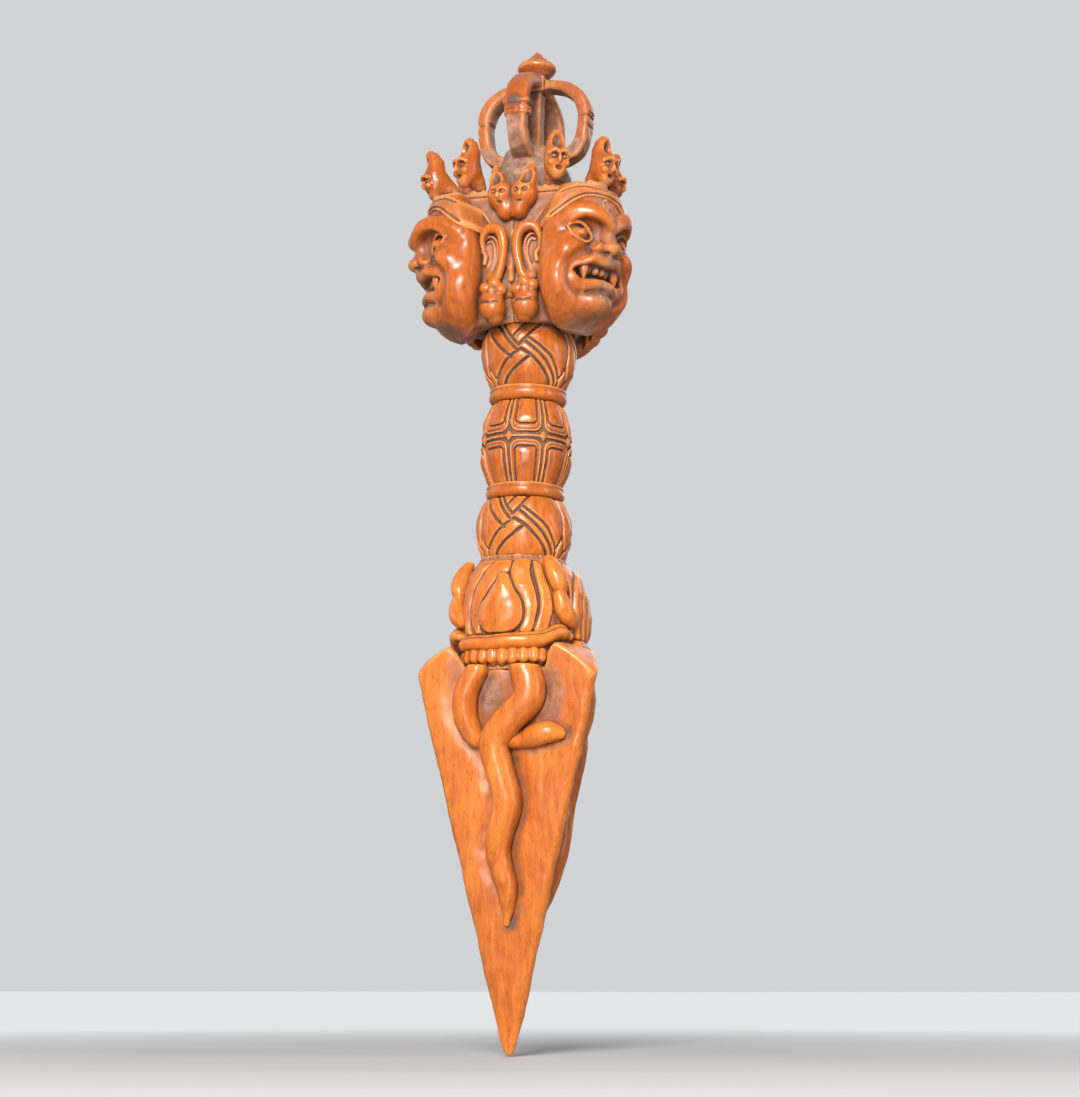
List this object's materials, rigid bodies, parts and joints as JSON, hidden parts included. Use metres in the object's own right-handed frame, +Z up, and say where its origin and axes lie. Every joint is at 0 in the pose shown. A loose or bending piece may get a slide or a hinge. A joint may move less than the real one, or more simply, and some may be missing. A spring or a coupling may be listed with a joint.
{
  "type": "ritual dagger",
  "caption": "Carved wooden peg with a three-sided blade, snakes in relief, a knotted handle, wrathful heads under a crown of skulls, and a pronged finial.",
  "frame": {"origin": "the point of the blade, on the long axis", "axes": "+Z up the long axis from the point to the finial, -Y out of the first blade face, +X to the right as that face is seen"},
  "size_m": [0.0568, 0.0532, 0.25],
  "materials": {
    "boxwood": "stained, waxed and worn to a shine",
    "boxwood_dark": "rough cut, darker and less polished"
  },
  "bodies": {
    "root": {"blade": "boxwood", "makara_block": "boxwood", "lower_knot": "boxwood", "lower_collar": "boxwood", "grip": "boxwood", "upper_collar": "boxwood", "upper_knot": "boxwood", "head_core": "boxwood_dark", "crown": "boxwood_dark", "finial_base": "boxwood_dark", "finial_post": "boxwood", "finial_cap": "boxwood", "long_snake_1": "boxwood", "short_snake_1": "boxwood", "lotus_1": "boxwood", "scroll_1": "boxwood", "lip_1": "boxwood", "teeth_1": "boxwood", "face_1": "boxwood", "diadem_1": "boxwood", "ears_1": "boxwood", "earrings_1": "boxwood", "twin_skull_1": "boxwood", "long_snake_2": "boxwood", "short_snake_2": "boxwood", "lotus_2": "boxwood", "scroll_2": "boxwood", "lip_2": "boxwood", "teeth_2": "boxwood", "face_2": "boxwood", "diadem_2": "boxwood", "ears_2": "boxwood", "earrings_2": "boxwood", "twin_skull_2": "boxwood", "long_snake_3": "boxwood", "short_snake_3": "boxwood", "lotus_3": "boxwood", "scroll_3": "boxwood", "lip_3": "boxwood", "teeth_3": "boxwood", "face_3": "boxwood", "diadem_3": "boxwood", "ears_3": "boxwood", "earrings_3": "boxwood", "twin_skull_3": "boxwood", "skull_1": "boxwood", "skull_2": "boxwood", "skull_3": "boxwood", "skull_4": "boxwood", "skull_5": "boxwood", "skull_6": "boxwood", "skull_7": "boxwood", "skull_8": "boxwood", "skull_9": "boxwood", "prong_1": "boxwood", "prong_2": "boxwood", "prong_3": "boxwood", "prong_4": "boxwood"}
  },
  "joints": []
}
